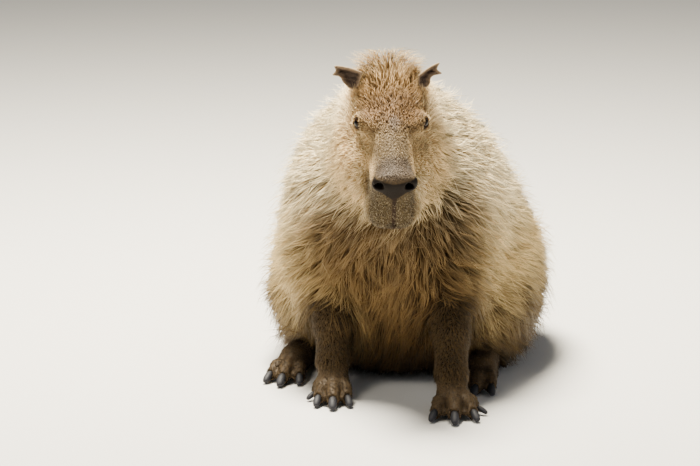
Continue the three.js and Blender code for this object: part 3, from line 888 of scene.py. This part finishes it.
def refined(points, quads, levels):
    """The net with some of its faces split, each new point settled on the skin."""
    work = bmesh.new()
    corners = [work.verts.new(point) for point in points]
    for quad in quads.tolist():
        work.faces.new([corners[i] for i in quad])
    for level in range(levels):
        work.faces.ensure_lookup_table()
        middles = np.array([face.calc_center_median() for face in work.faces])
        wanted = detail_wanted(middles, level)
        edges = {edge for face, pick in zip(work.faces, wanted) if pick for edge in face.edges}
        bmesh.ops.subdivide_edges(work, edges=list(edges), cuts=1, use_grid_fill=True)
    bmesh.ops.triangulate(work, faces=[face for face in work.faces if len(face.verts) > 4])
    return work


def skin_piece():
    work = refined(net_points, net_quads, 3)
    spots = settled(np.array([vert.co for vert in work.verts]), hide, 3)
    mesh = bpy.data.meshes.new("skin")
    work.to_mesh(mesh)
    work.free()
    spots[:, 2] = np.maximum(spots[:, 2], SKIN_LOWEST)
    mesh.vertices.foreach_set("co", metres(spots).astype(np.float32).ravel())
    mesh.polygons.foreach_set("use_smooth", np.ones(len(mesh.polygons), bool))
    mesh.update()
    piece = in_scene("skin", mesh)
    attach(piece, "root")
    # The skin takes the coat's colours, with their painted top light and painted shade
    colours = (markings_and_painted_light(spots, tips=False) + markings_and_painted_light(spots, tips=True)) / 2
    keep_values(piece, "skin_colour", colours)
    mesh.materials.append(hide_skin())
    return piece


skin = skin_piece()
SKIN_NODES = ["head", "neck", "torso"]
for name in SIDES:
    SKIN_NODES += [f"thigh_{name}", f"foreleg_{name}", f"forefoot_{name}", f"hindfoot_{name}"]
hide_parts(*SKIN_NODES)

# The coat
rng = np.random.default_rng(7)
THIN = 1.0
LONG_DENSITY = 6.6  # tufts to the square centimetre of skin
STRAY_DENSITY = 0.8
SHORT_DENSITY = 32
LONG_STATIONS = np.array((0, 0.33, 0.67, 1.0))
HAIR_LOWEST = 4.0
BLADE_LOWEST = 1.0
PIECE_LIMIT = 190000  # triangles in a piece of the coat
PATCH = 0.003  # how large a blade is on the unwrap
# Higher than the crown's top and further out than the sides' reach, hair bends over
CROWN_TOP = 594
SIDE_REACH = 268


def unwrapped_net():
    """Where each face of the net lies on a flat unwrap of the skin."""
    scratch = bpy.data.meshes.new("unwrap")
    scratch.from_pydata((net_points * MM).tolist(), [], net_quads.tolist())
    piece = in_scene("unwrap", scratch)
    bpy.context.view_layer.objects.active = piece
    piece.select_set(True)
    bpy.ops.object.mode_set(mode="EDIT")
    bpy.ops.mesh.select_all(action="SELECT")
    bpy.ops.uv.smart_project(angle_limit=math.radians(66), island_margin=0.004)
    bpy.ops.object.mode_set(mode="OBJECT")
    flat = np.zeros(len(scratch.loops) * 2, np.float32)
    scratch.uv_layers[0].data.foreach_get("uv", flat)
    bpy.data.objects.remove(piece)
    bpy.data.meshes.remove(scratch)
    return flat.reshape(-1, 4, 2)


net_flat = unwrapped_net()


def roots_on_skin(density):
    """Random places on the net, so many to the square centimetre, each with its place on the unwrap."""
    corners = net_points[net_quads]
    diagonals = np.cross(corners[:, 2] - corners[:, 0], corners[:, 3] - corners[:, 1])
    area = np.linalg.norm(diagonals, axis=1) / 2 / 10**2
    expected = area * density(corners.mean(1))
    count = np.floor(expected + rng.random(len(expected))).astype(int)
    face = np.repeat(np.arange(len(net_quads)), count)
    s, t = rng.random((2, len(face), 1))
    weights = [(1 - s) * (1 - t), s * (1 - t), s * t, (1 - s) * t]
    spots = sum(weight * corners[face, i] for i, weight in enumerate(weights))
    flat = sum(weight * net_flat[face, i] for i, weight in enumerate(weights))
    return spots, flat


def lie(points, kinds):
    """Which way the hair lies: back along the body and down, from the nose back over the face."""
    face, _, limb, _, _ = kinds
    fan = smooth(-points[:, 1], 40, 260) * 0.5
    body = np.stack([points[:, 0] / 150 * fan, np.full(len(points), 0.75), np.full(len(points), -0.66)], 1)
    # Locks part and close again every few centimetres
    x, y, z = points.T / 10
    body[:, 0] += 0.22 * np.sin(z / 3.1 + y / 4.3) + 0.16 * np.sin(z / 1.7 - x / 2.3 + y / 3.7)
    body[:, 1] += 0.2 * np.sin(x / 2.9 + z / 3.3) * np.sin(y / 3.9 - z / 4.7)
    local = into(HEAD, points)
    over_face = np.stack([local[:, 0] / 38, 1.1 - 0.01 * local[:, 1], local[:, 2] / 60], 1)
    # Behind the corners of the mouth the hair fans out and down
    fanned = smooth(-local[:, 2], -20, 40) * smooth(np.abs(local[:, 0]), 18, 44)
    over_face *= np.stack([1 + 0.5 * fanned, 1 - 0.6 * fanned, 1 + 0 * fanned], 1)
    over_face[:, 2] -= 1.9 * fanned
    over_face[:, 2] -= 1.2 * smooth(-local[:, 1], 90, 140) * smooth(-local[:, 2], -5, 30)
    on_face = unit(over_face) @ np.array(HEAD)[:3, :3].T
    on_limb = np.tile((0.0, -0.12, -1.0), (len(points), 1))
    way = unit(body) + (on_face - unit(body)) * face[:, None]
    way = way + (on_limb - way) * limb[:, None]
    return unit(way)


def headings(points, kinds, normal, bend):
    """The way the hair lies along a surface, turned by a bend of its own."""
    heading = lie(points, kinds)
    heading = unit(heading - (heading * normal).sum(1, keepdims=True) * normal)
    across = np.cross(normal, heading)
    return heading * np.cos(bend)[:, None] + across * np.sin(bend)[:, None]


def drawn_in(values, limit, room):
    """What is added to values past a limit, so that they come no further past it than the room there."""
    over = np.maximum(values - limit, 0)
    return room * (1 - np.exp(-over / room)) - over


def hair_lines(roots, kinds, length, tip_level, sag, wild):
    """Middle lines of long tufts: each leaves its root and rises to its tip's level over the core."""
    spots = roots.copy()
    start = grown.at(spots)
    twist = rng.normal(0, wild, len(roots))
    lines = [spots.copy()]
    for before, now in zip(LONG_STATIONS[:-1], LONG_STATIONS[1:]):
        normal = grown.at(spots, slopes=True)
        heading = headings(spots, kinds, normal, twist * (0.4 + now))
        spots = spots + heading * ((now - before) * length)[:, None]
        level = start + (tip_level - start) * now**0.8
        for _ in range(2):
            spots += (level - grown.at(spots))[:, None] * grown.at(spots, slopes=True)
        spots[:, 2] -= sag * (now**2 - before**2) * length
        lines.append(spots.copy())
    lines = np.stack(lines, 1)
    lines[:, :, 2] = np.maximum(lines[:, :, 2], HAIR_LOWEST)
    # The longest hairs on the crown and at the sides bend over instead of standing out further
    lines[:, :, 2] += drawn_in(lines[:, :, 2], CROWN_TOP, 25)
    out = lines[:, :, 0] + MOVED[0]
    lines[:, :, 0] += np.sign(out) * drawn_in(np.abs(out), SIDE_REACH, 20)
    return lines


def core_normals(lines):
    return grown.at(lines.reshape(-1, 3), slopes=True).reshape(lines.shape)


def clumped(lines, roots, spacing, pull, power):
    """Lines drawn together towards those of the nearest leading tufts."""
    leaders = []
    taken = set()
    for i in rng.permutation(len(roots)):
        cell = tuple((roots[i] // spacing).astype(int))
        if cell not in taken:
            taken.add(cell)
            leaders.append(i)
    tree = KDTree(len(leaders))
    for number, i in enumerate(leaders):
        tree.insert(roots[i], number)
    tree.balance()
    nearest = np.array([leaders[tree.find(root)[1]] for root in roots])
    share = (np.linspace(0, 1, lines.shape[1]) ** power)[None, :, None] * np.reshape(pull, (-1, 1, 1))
    return lines + (lines[nearest] - lines) * share, nearest


def blades(name, lines, normals, flat, width, profile, colours, chance):
    """Tapered blades of three sides along the lines, in pieces that are not too big."""
    count, stations, _ = lines.shape
    heading = unit(np.gradient(lines, axis=1))
    across = unit(np.cross(normals, heading))
    ridge = unit(np.cross(heading, across))
    rings = stations - 1
    half = width[:, None, None] * np.array(profile)[None, :, None] / 2
    middle = lines[:, :rings]
    across, ridge = across[:, :rings], ridge[:, :rings]
    corners = np.stack([middle - across * half, middle + across * half, middle - ridge * half * 0.8], 2)
    points = np.concatenate([corners.reshape(count, rings * 3, 3), lines[:, -1:]], 1)
    points[:, :, 2] = np.maximum(points[:, :, 2], BLADE_LOWEST)
    each = rings * 3 + 1
    faces = [(0, 1, 2)]
    for ring in range(rings - 1):
        for side in range(3):
            a, b = ring * 3 + side, ring * 3 + (side + 1) % 3
            faces += [(a, b + 3, b), (a, a + 3, b + 3)]
    last = (rings - 1) * 3
    faces += [(last + (side + 1) % 3, last + side, last + 3) for side in range(3)]
    faces = np.array(faces)
    along = np.concatenate([np.repeat(np.linspace(0, 1, stations)[:rings], 3), [1.0]])
    sideways = np.concatenate([np.tile((-0.5, 0.5, 0.0), rings), [0.0]])
    patch = np.stack([sideways, along - 0.5], 1) * PATCH
    pieces = []
    share = PIECE_LIMIT // len(faces)
    for number, first in enumerate(range(0, count, share)):
        some = slice(first, min(first + share, count))
        many = some.stop - some.start
        all_faces = (faces[None] + (np.arange(many) * each)[:, None, None]).reshape(-1, 3)
        piece = mesh_piece(f"{name}_{number + 1}", points[some].reshape(-1, 3), all_faces)
        keep_values(piece, "along", np.tile(along, many))
        keep_values(piece, "chance", np.repeat(chance[some], each))
        for label, values in zip(("tip_colour", "root_colour"), colours):
            keep_values(piece, label, np.repeat(values[some], each, 0))
        spread = np.repeat(flat[some], each, 0) + np.tile(patch, (many, 1))
        layer = piece.data.uv_layers.new(name="OFBake")
        layer.data.foreach_set("uv", spread[all_faces.ravel()].astype(np.float32).ravel())
        pieces.append(piece)
    return pieces


def long_coat():
    """Guard hair, 60 to 86 mm on neck, body and thighs, longer where it hangs, shorter on the face."""

    def density(points):
        face, _, limb, _, _ = region(points)
        on_face = smooth(fluff(points), 0.12, 0.5) * (1 - smooth(eye_clearance(points), 0.02, 0.2))
        cover = LONG_DENSITY * (1 + face * (1.35 * on_face - 1))
        return cover * (1 - smooth(limb, 0.35, 0.8)) * THIN

    roots, flat = roots_on_skin(density)
    kinds = region(roots)
    face, _, limb, _, _ = kinds
    count = len(roots)
    mop = crest(roots)
    soft = fluff(roots)
    length = 60 + 26 * rng.random(count)
    on_face = (11 + 34 * soft**1.3) * (0.8 + 0.4 * rng.random(count))
    length = (length + (on_face - length) * face) * (1 - 0.35 * limb) + 22 * mop
    hang = smooth(-roots[:, 2], -230, -100) * smooth(-roots[:, 1], 20, 100) * (1 - face)
    length = length * (1 + 0.85 * hang)
    tip_level = 14 + 17 * rng.random(count)
    # Next to the face the coat lies lower, so that cheeks and neck run into each other
    tip_level = tip_level * (0.3 + 0.7 * smooth(head_mass(roots), -5, 85))
    low_face = (1 + 15 * soft**1.5) * (0.5 + 0.8 * rng.random(count))
    tip_level = tip_level + (low_face - tip_level) * face + 84 * mop * (0.55 + 0.45 * rng.random(count))
    side_hair = temples(roots) * face
    length = length + 12 * side_hair
    tip_level = tip_level + 17 * side_hair * rng.random(count)
    lines = hair_lines(roots, kinds, length, tip_level, 0.05 + 0.32 * hang, 0.17 + 0.15 * face)
    lines, _ = clumped(lines, roots, 38, 0.45 * rng.random(count) * (1 - 0.8 * face), 1.5)
    lines, lead = clumped(lines, roots, 13, (0.55 + 0.4 * rng.random(count)) * (1 - 0.5 * face), 1.3)
    chance = 0.3 * rng.random(count) + 0.7 * rng.random(count)[lead]
    chance = 0.5 + (chance - 0.5) * (1 - 0.5 * face)
    colours = markings_and_painted_light(roots, True), markings_and_painted_light(roots, False)
    width = 2.0 * (0.7 + 0.6 * rng.random(count)) * (1 - 0.4 * face)
    return blades("long_coat", lines, core_normals(lines), flat, width, (0.6, 1, 0.7), colours, chance)


def stray_hair():
    """Single longer hairs that stand out along the outline."""

    def density(points):
        face, _, limb, _, _ = region(points)
        on_face = 0.9 * smooth(fluff(points), 0.5, 1) + 3 * crest(points) + 2 * temples(points)
        return STRAY_DENSITY * (1 + face * (on_face - 1)) * (1 - smooth(limb, 0.35, 0.8)) * THIN

    roots, flat = roots_on_skin(density)
    kinds = region(roots)
    face = kinds[0]
    count = len(roots)
    length = (76 + 28 * rng.random(count)) * (1 - 0.5 * face)
    tip_level = (30 + 20 * rng.random(count)) * (0.4 + 0.6 * smooth(head_mass(roots), -5, 85))
    tip_level = tip_level * (1 - 0.3 * face) * clear_of_ears(roots)
    tip_level = tip_level + 46 * crest(roots) + 10 * face * temples(roots)
    lines = hair_lines(roots, kinds, length, tip_level, 0.05, 0.3)
    colours = markings_and_painted_light(roots, True), markings_and_painted_light(roots, False)
    width = 1.2 * (0.8 + 0.4 * rng.random(count))
    chance = 0.6 + 0.4 * rng.random(count)
    return blades("stray_hair", lines, core_normals(lines), flat, width, (0.7, 1, 0.7), colours, chance)


def short_coat():
    """Short flat hair on face, legs and feet, each a blade with a bent tip."""

    def density(points):
        face, _, limb, foot, _ = region(points)
        local = into(HEAD, points)
        bare = face * nose_leather(local)
        soft = smooth(fluff(points), 0.25, 0.8)
        on_limb = smooth(limb, 0.2, 0.6) * (1 - 0.55 * foot)
        cover = SHORT_DENSITY * np.maximum(face * (1 - 0.75 * soft), on_limb)
        bare = np.maximum(bare, face * cleft_share(local, 3.5))
        return cover * (1 - bare) * (1 - smooth(eye_clearance(points), 0.25, 0.5)) * THIN

    roots, flat = roots_on_skin(density)
    roots = settled(roots, hide, 1)
    kinds = region(roots)
    face, muzzle, limb, foot, _ = kinds
    count = len(roots)
    normal = unit(slope_at(hide, roots, 2.0))
    heading = headings(roots, kinds, normal, rng.normal(0, 0.3, count))
    soft = fluff(roots)
    length = 7 - 2.5 * muzzle + 14 * face * soft + 6 * limb * (1 - foot) - 2.5 * foot
    length = length * (0.75 + 0.5 * rng.random(count)) * (1 - 0.6 * smooth(eye_clearance(roots), 0, 0.3))
    rise = length * (0.2 + 0.16 * rng.random(count)) * (1 - 0.45 * foot)
    ahead = heading * length[:, None]
    up = normal * rise[:, None]
    lines = np.stack([roots - normal * 0.3, roots + ahead * 0.5 + up * 0.75, roots + ahead + up], 1)
    lines, lead = clumped(lines, roots, 6, 0.3 * rng.random(count), 1.0)
    chance = 0.7 * rng.random(count) + 0.3 * rng.random(count)[lead]
    tips, bases = markings_and_painted_light(roots, True), markings_and_painted_light(roots, False)
    # Every third hair of the muzzle and the bridge of the nose has a pale tip
    local = into(HEAD, roots)
    grizzled = smooth(-local[:, 1], 84, 120) * (1 - smooth(nose_leather(local), 0, 0.5)) * face
    beside_nose = near_place(roots, HEAD, (0, -148, 18), (76, 44, 38))
    pale = (rng.random(count) < 0.34) * grizzled * (1 - 0.95 * beside_nose)
    tips = tips + (np.array(linear("ccba98")) - tips) * (pale * 0.42)[:, None]
    width = (1.2 - 0.35 * muzzle) * (0.75 + 0.5 * rng.random(count))
    normals = np.repeat(normal[:, None], 3, 1)
    return blades("short_coat", lines, normals, flat, width, (0.9, 1), (tips, bases), chance)


coat_material = guard_hair()
for piece in long_coat() + stray_hair() + short_coat():
    piece.data.materials.append(coat_material)


# Eyes
def ring_faces(rows, around):
    """Faces of four corners between one ring of points and the next."""
    faces = []
    for row in range(rows):
        for step in range(around):
            a, b = row * around + step, row * around + (step + 1) % around
            faces.append((a, b, b + around, a + around))
    return np.array(faces)


def eyeball(name):
    side = SIDES[name]
    around, rows = 48, 28
    spots = []
    ring = []
    for row in range(rows + 1):
        angle = math.pi * row / rows
        # The cornea bulges from the front of the ball
        bulge = 1.1 * max(0.0, 1 - (angle / math.radians(50)) ** 2) ** 1.5
        radius = EYE_RADIUS - 0.6 + bulge
        for step in range(around):
            turn = 2 * math.pi * step / around
            out = radius * math.sin(angle)
            spots.append((out * math.cos(turn), -radius * math.cos(angle), out * math.sin(turn)))
            ring.append(min(1.0, angle / math.radians(75)))
    faces = ring_faces(rows, around)[:, [0, 3, 2, 1]]
    piece = mesh_piece("eyeball_" + name, out_of(eye_frame(side), spots), faces)
    keep_values(piece, "ring", ring)
    closed_up(piece)
    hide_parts("eye_" + name)
    return piece


eye_material = wet_eye()
for name in SIDES:
    eyeball(name).data.materials.append(eye_material)

# Ears
# Their outlines, outwards and up from the middle, torn and notched along the outer edge
EAR_OUTLINE = {
    1: [(-16, 12), (8, 14), (28, 11), (19, 3), (23, -9)]
    + [(8, -4), (1, -6), (-4, -13), (-15, -15), (-23, -2)],
    -1: [(-16, 20), (8, 15), (31, 5), (26, -2), (27, -12)]
    + [(18, -9), (12, -9), (4, -14), (-13, -17), (-21, -5)],
}
EAR_ROOM = 38
EAR_STEP = 1.3


def outline_distance(flat, outline):
    """Distance from flat points to a closed outline, negative inside."""
    nearest = np.full(len(flat), 1e9)
    inside = np.zeros(len(flat), bool)
    for a, b in zip(outline, np.roll(outline, -1, 0)):
        edge = b - a
        share = np.clip((flat - a) @ edge / (edge @ edge), 0, 1)
        nearest = np.minimum(nearest, np.linalg.norm(flat - a - share[:, None] * edge, axis=1))
        between = (a[1] > flat[:, 1]) != (b[1] > flat[:, 1])
        if edge[1]:
            inside ^= between & (flat[:, 0] < a[0] + (flat[:, 1] - a[1]) * edge[0] / edge[1])
    return np.where(inside, -nearest, nearest)


def ear_edge(side, local):
    outline = curved(EAR_OUTLINE[side] + EAR_OUTLINE[side][:1], 41)[:-1]
    return outline_distance(np.stack([local[:, 0] * side, local[:, 2]], 1), outline)


def ear_shape(side):
    """A thin cupped leaf: its rim comes forward, its middle lies deep, with two folds down to the root."""
    space = ear_frame(side)
    root = rod(space, (-12 * side, 5, -5), (-32 * side, 8, -12), 7, 10)

    def distance(points):
        local = into(space, points)
        edge = ear_edge(side, local)
        deep = 8 * smooth(-edge, 0, 11) - 5
        folded = 0.9 * np.cos(local[:, 2] * 0.8 + 0.3 * local[:, 0] * side) * smooth(-edge, 2, 7)
        sheet = np.abs(local[:, 1] - deep - folded) - 2.1
        leaf = -blended(-edge, -sheet, 2.5)
        return blended(leaf, root(points), 7)

    return distance


def ear_piece(name):
    side = SIDES[name]
    space = ear_frame(side)
    shape = ear_shape(side)
    centre = np.array(space.translation)
    points, quads = surface_net(Grid(shape, centre - EAR_ROOM, centre + EAR_ROOM, EAR_STEP))
    points = settled(points, shape, 2, reach=1.0)
    piece = mesh_piece("ear_leaf_" + name, points, quads)
    local = into(space, points)
    edge = ear_edge(side, local)
    inner = smooth(-edge, 2, 9)
    rim = smooth(edge, -3, 0)
    colour = np.tile(linear("6a5847"), (len(points), 1))
    colour += (np.array(linear("392d25")) - colour) * inner[:, None]
    colour += (np.array(linear("a8906f")) - colour) * (rim * 0.7)[:, None]
    keep_values(piece, "skin_colour", colour)
    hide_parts("ear_" + name)
    return piece


ear_material = hide_skin()
ear_material.name = "ear_skin"
for name in SIDES:
    ear_piece(name).data.materials.append(ear_material)

# Claws
CLAW_LOWEST = 1.2


def squared(value):
    """A sine or cosine that fills out a round section a little towards a square."""
    return math.copysign(abs(value) ** 0.85, value)


def claw_piece(name, root, tip, radius, space):
    size = radius / FULL_TOE
    around, rows = 22, 18
    spots = []
    along = []
    for row in range(rows + 1):
        t = row / rows
        fullness = math.sqrt(max(0.0, 1 - (2 * t - 1) ** 2)) ** 0.75
        for step in range(around):
            turn = 2 * math.pi * step / around
            x = squared(math.cos(turn)) * CLAW["width"] * size * fullness
            z = squared(math.sin(turn)) * CLAW["height"] * size * fullness
            # The top is keeled and the underside flatter
            z *= 0.7 if z < 0 else 1.06 - 0.06 * abs(x) / CLAW["width"]
            spots.append((x, (1 - 2 * t) * CLAW["length"] * size, z))
            along.append(t)
    spots = out_of(claw_frame(root, tip, radius, space), spots)
    spots[:, 2] = np.maximum(spots[:, 2], CLAW_LOWEST)
    piece = mesh_piece("horn_" + name, spots, ring_faces(rows, around))
    keep_values(piece, "along", along)
    closed_up(piece)
    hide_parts("claw_" + name)
    return piece


horn = blunt_horn()
for end, name in FEET:
    space, side, stand, spread, toes, sole = foot_plan(end, name)
    for number, toe in enumerate(toes):
        root, tip, radius = toe_line(toe, side, stand, spread)
        claw_piece(f"{end}_{name}_{number + 1}", root, tip, radius, space).data.materials.append(horn)


# Studio, with its places and sizes in metres
FLOOR_REACH = 30.0


def plain_floor():
    mesh = bpy.data.meshes.new("floor")
    corners = [(x * FLOOR_REACH, y * FLOOR_REACH, 0) for x, y in ((-1, -1), (1, -1), (1, 1), (-1, 1))]
    mesh.from_pydata(corners, [], [(0, 1, 2, 3)])
    floor = in_scene("floor", mesh)
    material, tree, surface = new_material("pale_floor")
    connect(tree, surface, Base_Color=(*linear("dcdad5"), 1), Roughness=0.9)
    mesh.materials.append(material)


def soft_light(name, place, aim, size, power, tint):
    data = bpy.data.lights.new(name, "AREA")
    data.shape = "DISK"
    data.size = size
    data.energy = power
    data.color = linear(tint)
    light = in_scene(name, data)
    light.location = place
    light.rotation_euler = (Vector(aim) - Vector(place)).to_track_quat("-Z", "Y").to_euler()


plain_floor()
soft_light("overhead", (-0.5, 0.6, 3.1), (0, 0, 0.35), 1.2, 700, "fff6e2")
soft_light("front_key", (-1.8, -2.4, 3.0), (0, -0.1, 0.4), 1.2, 52, "fff8ea")
soft_light("side_fill", (2.6, -1.6, 1.6), (0, 0, 0.3), 2.0, 12, "f4f6ff")
world = bpy.data.worlds.new("studio")
world.use_nodes = True
backdrop = world.node_tree.nodes["Background"]
connect(world.node_tree, backdrop, Color=(*linear("dfe3e8"), 1), Strength=0.26)
bpy.context.scene.world = world

# The camera stands at the photograph's angle and frames the animal as it does, 700 by 466 pixels
CAMERA_AIM = (-72, -300, 305)
CAMERA_TILT = math.radians(12.5)
CAMERA_REACH = 5000
SENSOR_WIDTH = 36
FRAME_PIXELS = 700
FOCAL_PIXELS = 2925
camera_data = bpy.data.cameras.new("camera")
camera_data.sensor_width = SENSOR_WIDTH
camera_data.lens = FOCAL_PIXELS * SENSOR_WIDTH / FRAME_PIXELS
camera = in_scene("camera", camera_data)
aim = Vector(metres(CAMERA_AIM))
back = Vector((0, -math.cos(CAMERA_TILT), math.sin(CAMERA_TILT)))
camera.location = aim + back * CAMERA_REACH * MM
camera.rotation_euler = (-back).to_track_quat("-Z", "Y").to_euler()
bpy.context.scene.camera = camera
